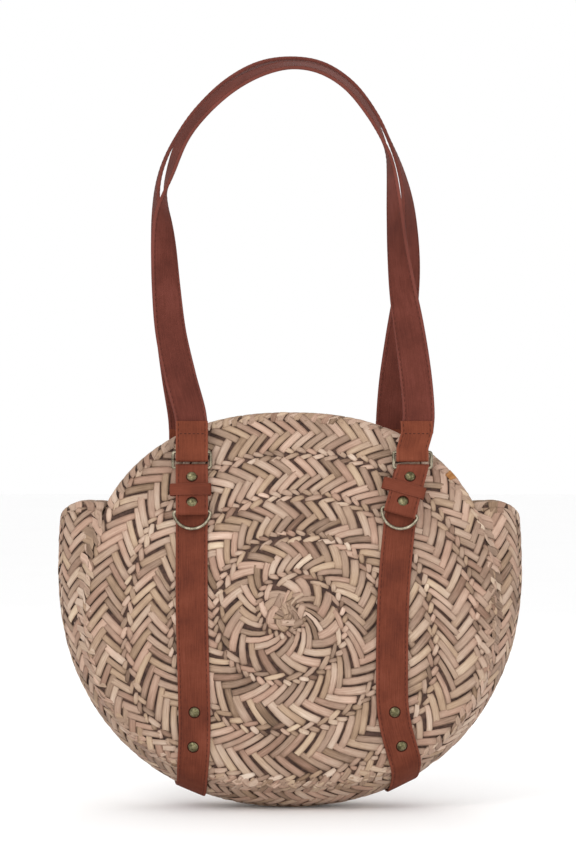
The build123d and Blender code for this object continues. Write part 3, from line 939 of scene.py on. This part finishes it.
def palm_material():
    """Dry split palm leaf: long pale fibres, each leaf a shade of its own, plus the painted shade
    that the per-point tone carries where leaves dip and along their edges.
    """
    made, tree, shader = material("palm_leaf")
    streaks = noise(tree, fibre(tree, 0.05, 0.75), 1.2, 4.0, 0.6)
    blotches = noise(tree, object_coords(tree), 38.0, 4.0, 0.6)
    large = noise(tree, object_coords(tree), 7.0, 2.0)
    tone = attribute(tree, "tone")
    for pattern, strength in ((streaks, 0.6), (blotches, 0.34), (large, 0.24)):
        centred = maths(tree, "MULTIPLY_ADD", pattern, strength, -strength / 2)
        tone = maths(tree, "ADD", tone, centred)
    colour = ramp(tree, tone, [(0.0, (0.06, 0.034, 0.02)), (0.26, (0.17, 0.103, 0.066)),
                               (0.58, (0.36, 0.245, 0.178)), (0.86, (0.52, 0.395, 0.305)),
                               (1.0, (0.64, 0.52, 0.42))])
    leaf = noise(tree, fibre(tree, 0.012, 0.0), 1.0, 0.0)
    hue = ramp(tree, leaf, [(0.34, (1.0, 0.90, 0.88)), (0.5, (1, 1, 1)), (0.66, (1.0, 0.98, 0.88))])
    colour = blended(tree, "MULTIPLY", 1.0, colour, hue)
    surface(tree, shader, colour, maths(tree, "MULTIPLY_ADD", streaks, 0.25, 0.5), 0.35)
    height = maths(tree, "ADD", streaks, maths(tree, "MULTIPLY", blotches, 0.3))
    bump(tree, shader, height, 0.5, 0.0006)
    return made


def speckled_material(name, grain, stops, roughness, relief=None, specular=None):
    """A matt surface of two shades: the painted shade between the leaves, thread and studio paper.
    """
    made, tree, shader = material(name)
    speckle = noise(tree, object_coords(tree), *grain)
    surface(tree, shader, ramp(tree, speckle, stops), roughness, specular)
    if relief:
        bump(tree, shader, speckle, 0.4, relief)
    return made


def leather_material(name, dark, mid, light, rough=0.5):
    """Vegetable-tanned leather: fine grain, uneven colour, and cut edges made lighter by a painted
    highlight.
    """
    made, tree, shader = material(name)
    coords = object_coords(tree)
    clouds = noise(tree, coords, 26.0, 5.0, 0.6)
    scratches = noise(tree, fibre(tree, 0.02, 6.0), 2.2, 4.0, 0.6)
    shade = maths(tree, "MULTIPLY_ADD", scratches, 0.35, maths(tree, "MULTIPLY", clouds, 0.65))
    colour = ramp(tree, shade, [(0.3, dark), (0.5, mid), (0.72, light)])
    edge = maths(tree, "ABSOLUTE", attribute(tree, "across"))
    # Painted highlight: the cut edges are lighter, where their rounded edges would catch the light.
    rim = ramp(tree, edge, [(0.925, (0, 0, 0)), (0.965, (1, 1, 1))])
    # Painted shade: darker along the stitch groove, which the bump below also sinks.
    crease = ramp(tree, maths(tree, "ABSOLUTE", maths(tree, "SUBTRACT", edge, 0.827)),
                  [(0.0, (1, 1, 1)), (0.035, (0, 0, 0))])
    # Painted highlight: the colour that the cut edges are lightened towards.
    edge_highlight = tuple(1.5 * c + 0.02 for c in light)
    colour = blended(tree, "MIX", maths(tree, "MULTIPLY", rim, 0.2), colour, edge_highlight)
    colour = blended(tree, "MIX", maths(tree, "MULTIPLY", crease, 0.45), colour, dark)
    surface(tree, shader, colour, maths(tree, "MULTIPLY_ADD", clouds, 0.22, rough), 0.025)
    grain = node(tree, "TexVoronoi", Scale=900.0)
    tree.links.new(coords, grain.inputs["Vector"])
    height = maths(tree, "ADD", maths(tree, "MULTIPLY", grain.outputs["Distance"], 0.5),
                   maths(tree, "MULTIPLY", scratches, 0.6))
    height = maths(tree, "SUBTRACT", height, maths(tree, "MULTIPLY", crease, 1.2))
    bump(tree, shader, height, 0.35, 0.0005)
    return made


def brass_material(name, dark, mid, light):
    """Aged brass with uneven tarnish."""
    made, tree, shader = material(name)
    coords = object_coords(tree)
    tarnish = noise(tree, coords, 120.0, 5.0, 0.65)
    fine = noise(tree, coords, 900.0, 3.0, 0.6)
    shade = maths(tree, "MULTIPLY_ADD", fine, 0.35, maths(tree, "MULTIPLY", tarnish, 0.65))
    colour = ramp(tree, shade, [(0.34, dark), (0.5, mid), (0.66, light)])
    surface(tree, shader, colour, maths(tree, "MULTIPLY_ADD", tarnish, 0.35, 0.2))
    shader.inputs["Metallic"].default_value = 1.0
    bump(tree, shader, fine, 0.15, 0.0003)
    return made


PALM = palm_material()
# Painted shade: a dark sheet inside the wall, which shows between the leaves where shade would
# fall.
SHADE_SHEET = speckled_material(
    "braid_shadow", (160.0, 3.0, 0.6), [(0.3, (0.022, 0.009, 0.006)), (0.7, (0.10, 0.05, 0.034))],
    0.9, 0.001)
THREAD = speckled_material(
    "waxed_thread", (1400.0, 2.0), [(0.3, (0.025, 0.007, 0.005)), (0.7, (0.07, 0.022, 0.014))],
    0.7, 0.0002, 0.1)
STRAP_LEATHER = leather_material(
    "strap_leather_brown", (0.076, 0.021, 0.014), (0.134, 0.036, 0.0205), (0.196, 0.056, 0.034))
HANDLE_LEATHER = leather_material(
    "handle_leather_brown", (0.068, 0.019, 0.014), (0.112, 0.031, 0.022), (0.165, 0.048, 0.036))
FLAP_LEATHER = leather_material(
    "flap_leather_tan", (0.09, 0.024, 0.014), (0.152, 0.041, 0.022), (0.218, 0.064, 0.035))
# Painted shade: near-black leather for the rings round the rivets' heads
RIVET_SHADE_LEATHER = leather_material(
    "rivet_shade_leather_dark", (0.022, 0.006, 0.004), (0.035, 0.01, 0.006), (0.05, 0.015, 0.009), 0.6)
STAINED_PALM = leather_material(
    "stained_palm_ochre", (0.12, 0.052, 0.018), (0.27, 0.118, 0.04), (0.42, 0.21, 0.085))
RIVET_BRASS = brass_material(
    "rivet_brass", (0.03, 0.024, 0.012), (0.14, 0.125, 0.065), (0.34, 0.30, 0.18))
RING_BRASS = brass_material(
    "ring_brass", (0.06, 0.048, 0.034), (0.22, 0.19, 0.135), (0.46, 0.41, 0.31))


# ---- woven pieces
def woven_pieces(woven, node_name, rear=False):
    """Pieces, by name, that stand for one woven node."""
    for name, parts in woven.items():
        # The dark sheet of painted shade gets its own material.
        material = SHADE_SHEET if name.endswith("_core") else PALM
        made = mesh_object(name, parts, material, "bag", rear)
        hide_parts(node_name)


# A dark sheet of painted shade inside the wall, under the leaves.
def shade_sheet_parts(point, turns, acrosses):
    return shell_parts(point, turns, acrosses, -SHADE_SHEET_DEPTH, SHADE_SHEET_DEPTH - WALL)


def disc_pieces(end, rear):
    """One disc: its outer and inner braid, the knot, the folded rim and the dark sheet of painted
    shade under the leaves.
    """
    woven = {}
    for face, wall_side in WALL_SIDES.items():
        woven[f"{end}_braid_{face}"] = braid_parts(spiral_point, *SPIRAL_TURNS, wall_side)
    woven[f"{end}_braid_knot"] = knot_parts(KNOT_LEAVES)
    rim = woven[f"{end}_braid_rim"] = Parts()
    add_slabs(rim, *rim_leaves(disc_edge, -MOUTH_SHARE, MOUTH_SHARE, RIM_LEAVES))
    add_slabs(rim, *seam_leaves(SEAM_LEAVES))
    woven[f"{end}_braid_core"] = shade_sheet_parts(polar_point, np.linspace(0, 1, 145),
                                            np.linspace(0.002, 0.99, 40))
    woven_pieces(woven, f"{end}_panel", rear)


def band_pieces():
    """The side band: its rows' outer and inner braid, the ears' rims and the dark sheet of painted
    shade under the leaves.
    """
    woven = {}
    for row in range(BAND_ROWS):
        for face, wall_side in WALL_SIDES.items():
            parts = braid_parts(row_point(row), *BAND_TURNS, wall_side, EAR_CUT)
            woven[f"side_braid_{row + 1}_{face}"] = parts
    for side, name in ((-1, "left"), (1, "right")):
        rim = woven[f"{name}_ear_rim"] = Parts()
        add_slabs(rim, *rim_leaves(ear_edge(side), -0.97, 0.97, EAR_LEAVES))
    woven["side_braid_core"] = shade_sheet_parts(band_point, np.linspace(-0.992, 0.992, 161),
                                          np.linspace(-0.99, 0.99, 25))
    woven_pieces(woven, "side_band")


# ---- leather pieces
def strap_piece(node_name, centres, side, out, width, thickness, rear=False):
    parts = ribbon_parts(centres, side, out, width, thickness)
    made = mesh_object(f"{node_name}_leather", parts, STRAP_LEATHER, "bag", rear)
    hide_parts(node_name)


def strap_stitches(node_name, centres, side, out, thickness, rear=False):
    threads = Parts()
    edge_stitches(threads, centres, side, out, STRAP_WIDTH, thickness)
    mesh_object(f"{node_name}_stitches", threads, THREAD, "bag", rear)


def base_strap_piece(hand):
    """One strap down the front, under the bag and up the rear."""
    centres, side, out = surface_strap(smoothed(base_strap_rows(hand), 2))
    centres = centres + out * (STRAP_GAP + STRAP / 2)
    strap_piece(f"{hand}_base_strap", centres, side, out, STRAP_WIDTH, STRAP)
    strap_stitches(f"{hand}_base_strap", centres, side, out, STRAP)


class Corner:
    """A tab's own directions, on the front."""

    def __init__(self, name):
        self.name = name
        self.rear = name.startswith("rear")
        self.top = JOINT_POINTS[f"{name}_ring_swing"].copy()
        self.bottom = JOINT_POINTS[f"{name}_d_ring_swing"].copy()
        if self.rear:
            self.top = rearward(self.top)
            self.bottom = rearward(self.bottom)
        self.up = unit(self.top - self.bottom)
        self.across = across_of(ACROSS, self.up)
        self.out = np.cross(self.across, self.up)
        self.length = float(np.linalg.norm(self.top - self.bottom))


def tab_piece(corner):
    """A strip that runs up behind, over the handle ring's bar, down the front and round the
    D-ring's bar."""
    length = corner.length
    radius = WIRE / 2 + RING_GAP + TAB_LAYER / 2
    flat = TAB_LAYER / 2 + TAB_GAP
    back = [k / TAB_BACK_STEPS for k in range(TAB_BACK_STEPS + 1)]
    bend = [radians(a) for a in np.linspace(-TAB_BEND, TAB_BEND, TAB_BEND_POINTS)]
    path = [(length * (0.5 - 0.5 * t) + radius * t, -flat) for t in back]
    path += [(-radius * cos(a), radius * sin(a)) for a in bend]
    for k in range(1, TAB_FRONT_STEPS):
        down = (length - 2 * TAB_FRONT_START * radius) * k / TAB_FRONT_STEPS
        path.append((radius * TAB_FRONT_START + down, flat))
    path += [(length + radius * cos(a), -radius * sin(a)) for a in bend]
    path += [(length - radius - (length * 0.5 - radius) * t, -flat) for t in back[:-1]]
    path = smoothed(np.array(path), 3)
    centres = corner.top - corner.up * path[:, :1] + corner.out * path[:, 1:]
    share = np.clip(path[:, :1] / length, 0, 1)
    side = unit(ACROSS * (1 - share) + corner.across * share)
    along = unit(np.gradient(centres, axis=0))
    out = unit(np.cross(along, side))
    name = f"{corner.name}_tab"
    strap_piece(name, centres, side, out, STRAP_WIDTH, TAB_LAYER, corner.rear)
    first = TAB_BACK_STEPS + TAB_BEND_POINTS - 1
    front = slice(first, first + TAB_FRONT_STEPS + 4)
    strap_stitches(name, centres[front], side[front], out[front], TAB_LAYER, corner.rear)


def rivet_shade_rings(corner):
    """A dark ring of painted shade round each rivet's head, where the head presses into the
    leather.
    """
    lift = TAB_LAYER + SHADE_RING_LIFT
    places = [(corner.top - corner.up * down + corner.out * lift, corner.out)
              for down in TAB_RIVETS]
    route = smooth_path(BASE_ROUTES[corner.name], 200)
    rivets = frame["nodes"][f"{corner.name}_base_rivets"]
    heads = np.array([rivets.matrix_world @ vertex.co for vertex in rivets.data.vertices]) / MM
    if corner.rear:
        heads = rearward(heads)
    for z in BASE_RIVETS_Z:
        x = np.interp(-z, -route[:, 1], route[:, 0])
        out = disc_point(x, z, 1.0) - disc_point(x, z)
        near = heads[np.abs(heads[:, 2] - z) < 2 * RIVET_HEAD]
        places.append((near[np.argmax(near @ out)] - out * (RIVET_DOME + SHADE_RING_LIFT), out))
    turns = np.linspace(0, 2 * pi, SHADE_RING_POINTS, endpoint=False)[:, None, None]
    profile = np.array(SHADE_RING_PROFILE)[None]
    index = np.arange(SHADE_RING_POINTS * len(SHADE_RING_PROFILE)).reshape(SHADE_RING_POINTS, -1)
    after = np.roll(index, -1, axis=0)
    quads = [index, after, np.roll(after, -1, axis=1), np.roll(index, -1, axis=1)]
    quads = np.stack(quads, axis=-1)
    parts = Parts()
    for centre, out in places:
        across = across_of(ACROSS, out)
        up = np.cross(out, across)
        round_head = np.cos(turns) * across + np.sin(turns) * up
        radius = RIVET_HEAD + profile[..., :1]
        parts.add(centre + radius * round_head + out * profile[..., 1:], quads)
    mesh_object(f"{corner.name}_rivet_shade_rings", parts, RIVET_SHADE_LEATHER, "bag",
                corner.rear)


def keeper_piece(corner):
    """A narrow leather loop round the tab."""
    half = KEEPER_HALF - KEEPER_WALL / 2
    depth = KEEPER_DEPTH + KEEPER_WALL / 2
    bends = [np.array([x * (half - KEEPER_BEND), y * (depth - KEEPER_BEND)])
             for x, y in ((1, 1), (-1, 1), (-1, -1), (1, -1))]
    path = []
    for quarter, bend in enumerate(bends):
        for step in np.linspace(0, 90, 7):
            angle = radians(90 * quarter + step)
            turned = KEEPER_BEND * np.array([cos(angle), sin(angle)])
            path.append(bend + turned)
        start = path[-1]
        stop = bends[(quarter + 1) % 4] + turned
        path += [start + (stop - start) * k / 6 for k in range(1, 6)]
    path = np.array(path + path[:1])
    path[:, 0] -= KEEPER_SLACK.get(corner.name, 0.0) * (path[:, 0] < 0)
    middle = corner.top - corner.up * KEEPER_DOWN
    centres = middle + corner.across * path[:, :1] + corner.out * path[:, 1:]
    crown = np.cos(path[:, :1] / half * pi / 2) * np.sign(path[:, 1:])
    centres = centres + corner.out * KEEPER_CROWN * crown
    along = unit(np.gradient(centres, axis=0))
    along[0] = along[-1] = unit(centres[1] - centres[-2])
    side = np.broadcast_to(corner.up, centres.shape)
    out = unit(np.cross(side, along))
    strap_piece(f"{corner.name}_keeper", centres, side, out, KEEPER_WIDTH, KEEPER_WALL, corner.rear)


def handle_piece(end, rear):
    """The twisted strap with its ends folded up over the rings and stitched."""
    lean = unit(np.array([0.0, HINGE_Y - HANDLE_APEX_Y, HANDLE_APEX_Z - HINGE_Z]))
    facing = np.cross(ACROSS, lean)
    hinge = np.array([0.0, -HINGE_Y, HINGE_Z])
    bars = {}
    ends = []
    for hand in ("left", "right"):
        x = JOINT_POINTS[f"{end}_{hand}_ring_swing"][0]
        bars[hand] = x * ACROSS + hinge + lean * RING_BAR_SPACING
        start = bars[hand] + lean * HANDLE_END + end_lean(end, hand, HANDLE_END) * ACROSS
        ends.append((*start, 0.0))
    stations = []
    for x, z, twist in HANDLE_ROUTES[end]:
        stations.append((*(x * ACROSS + hinge + lean * ((z - HINGE_Z) / lean[2])), twist))
    line = smooth_path([ends[0], *stations, ends[1]], HANDLE_POINTS)
    centres = line[:, :3]
    twist = np.radians(smoothed(line[:, 3], TWIST_PASSES))
    along = unit(np.gradient(centres, axis=0))
    inward = np.cross(facing, along)
    side = inward * np.cos(twist)[:, None] + facing * np.sin(twist)[:, None]
    out = unit(np.cross(side, along))
    out = out * np.sign(np.sum(out[0] * facing))
    parts = ribbon_parts(centres, side, out, STRAP_WIDTH, HANDLE)
    made = mesh_object(f"{end}_handle_leather", parts, HANDLE_LEATHER,
                       f"{end}_handle", rear)
    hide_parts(f"{end}_handle")
    threads = Parts()
    edge_stitches(threads, centres, side, out, STRAP_WIDTH, HANDLE, faces=(1, -1))
    for hand, bar in bars.items():
        handle_fold(end, hand, bar, lean, facing, threads, rear)
    mesh_object(f"{end}_handle_stitches", threads, THREAD, f"{end}_handle", rear)


def end_lean(end, hand, height):
    """How far a handle's end has moved across, at a height above its ring's bar."""
    heights, moves = END_LEANS.get((end, hand), ((0.0,), (0.0,)))
    return np.interp(height, heights, moves)


def handle_fold(end, hand, bar, lean, facing, threads, rear):
    """The strap's end: down behind, round the ring's bar and up the front as a stitched flap."""
    radius = WIRE / 2 + RING_GAP + FLAP_LAYER / 2
    path = [(FLAP_TOP * FLAP_BACK * (1 - k / FLAP_BACK_POINTS), -FLAP_DEPTH)
            for k in range(FLAP_BACK_POINTS)]
    for a in np.linspace(0, 180, FLAP_BEND_POINTS):
        path.append((-FOLD_DROP - radius * sin(radians(a)), -radius * cos(radians(a))))
    for k in range(1, FLAP_FRONT_STEPS + 1):
        depth = FLAP_DEPTH + FLAP_SWELL * min(1, k / FLAP_SWELL_STEPS)
        path.append((-FOLD_DROP + (FLAP_TOP + FOLD_DROP) * k / FLAP_FRONT_STEPS, depth))
    path = smoothed(np.array(path), 4)
    centres = bar + lean * path[:, :1] + facing * path[:, 1:]
    centres[:, 0] += end_lean(end, hand, path[:, 0])
    side = np.broadcast_to(ACROSS, centres.shape)
    along = unit(np.gradient(centres, axis=0))
    out = unit(np.cross(side, along))
    parts = ribbon_parts(centres, side, out, STRAP_WIDTH, FLAP_LAYER)
    made = mesh_object(f"{end}_{hand}_handle_flap", parts, FLAP_LEATHER,
                       f"{end}_handle", rear)
    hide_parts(f"{end}_handle")
    xs = np.arange(*FLAP_STITCH_ENDS, STITCH_PITCH * FLAP_STITCH_SIZE)
    face = bar + lean * FLAP_STITCHES + facing * (FLAP_DEPTH + FLAP_SWELL + FLAP_LAYER / 2)
    face = face + end_lean(end, hand, FLAP_STITCHES) * ACROSS
    starts = face + np.outer(xs, ACROSS)
    stitch_parts(threads, starts, starts + STITCH * FLAP_STITCH_SIZE * ACROSS,
                 np.broadcast_to(facing, starts.shape), FLAP_THREAD)
    front = slice(FLAP_BACK_POINTS + FLAP_BEND_POINTS + 1, None)
    edge_stitches(threads, centres[front], side[front], out[front], STRAP_WIDTH, FLAP_LAYER)


# ---- studio
def camera():
    data = bpy.data.cameras.new("camera")
    data.sensor_width = SENSOR
    data.lens = SENSOR * CAMERA_DISTANCE / VIEW_HEIGHT
    made = bpy.data.objects.new("camera", data)
    made.location = (CAMERA_SIDE, -CAMERA_DISTANCE, CAMERA_HEIGHT)
    made.rotation_euler = (pi / 2, 0, 0)
    bpy.context.scene.collection.objects.link(made)
    bpy.context.scene.camera = made


def area_light(name, location, target, size, power):
    data = bpy.data.lights.new(name, "AREA")
    data.shape = "DISK"
    data.size = size
    data.energy = power
    made = bpy.data.objects.new(name, data)
    made.location = location
    direction = np.array(target) - np.array(location)
    flat = hypot(direction[0], direction[1])
    made.rotation_euler = (pi / 2 - atan2(-direction[2], flat), 0,
                           atan2(direction[1], direction[0]) - pi / 2)
    bpy.context.scene.collection.objects.link(made)


def studio():
    """A pale floor, white surroundings and four soft lights."""
    mesh = bpy.data.meshes.new("floor")
    half = FLOOR_SIZE / 2
    z = float(CAD_BOX[0][2])
    mesh.from_pydata([(-half, -half, z), (half, -half, z), (half, half, z), (-half, half, z)], [],
                     [(0, 1, 2, 3)])
    paper = [(0.0, (0.965, 0.965, 0.965)), (1.0, (0.985, 0.985, 0.985))]
    mesh.materials.append(speckled_material("studio_paper", (3.0, 2.0), paper, 0.9))
    floor = bpy.data.objects.new("floor", mesh)
    bpy.context.scene.collection.objects.link(floor)
    world = bpy.data.worlds.new("studio")
    world.use_nodes = True
    background = world.node_tree.nodes["Background"]
    background.inputs["Color"].default_value = (1.0, 1.0, 1.0, 1)
    background.inputs["Strength"].default_value = 1.0
    bpy.context.scene.world = world
    middle = (0, 0, 0.3)
    area_light("key", (-1.3, -2.2, 2.0), middle, 1.2, 21)
    area_light("fill", (1.8, -1.6, 0.9), middle, 1.6, 6.5)
    area_light("low", (0.0, -1.6, 0.12), (0, 0, 0.05), 1.0, 6)
    area_light("back", (0.3, 1.8, 1.8), middle, 1.2, 7)
    bpy.context.scene.view_settings.view_transform = "Standard"


# ---- the whole scene
camera()
studio()
for end, rear in (("front", False), ("rear", True)):
    disc_pieces(end, rear)
    handle_piece(end, rear)
band_pieces()
for hand in ("left", "right"):
    base_strap_piece(hand)
for name in CORNERS:
    corner = Corner(name)
    tab_piece(corner)
    keeper_piece(corner)
    rivet_shade_rings(corner)
    for part, brass in (("handle_ring", RING_BRASS), ("d_ring", RING_BRASS),
                        ("tab_rivets", RIVET_BRASS), ("base_rivets", RIVET_BRASS)):
        slots = frame["nodes"][f"{name}_{part}"].data.materials
        slots.clear()
        slots.append(brass)
stained_leaf()
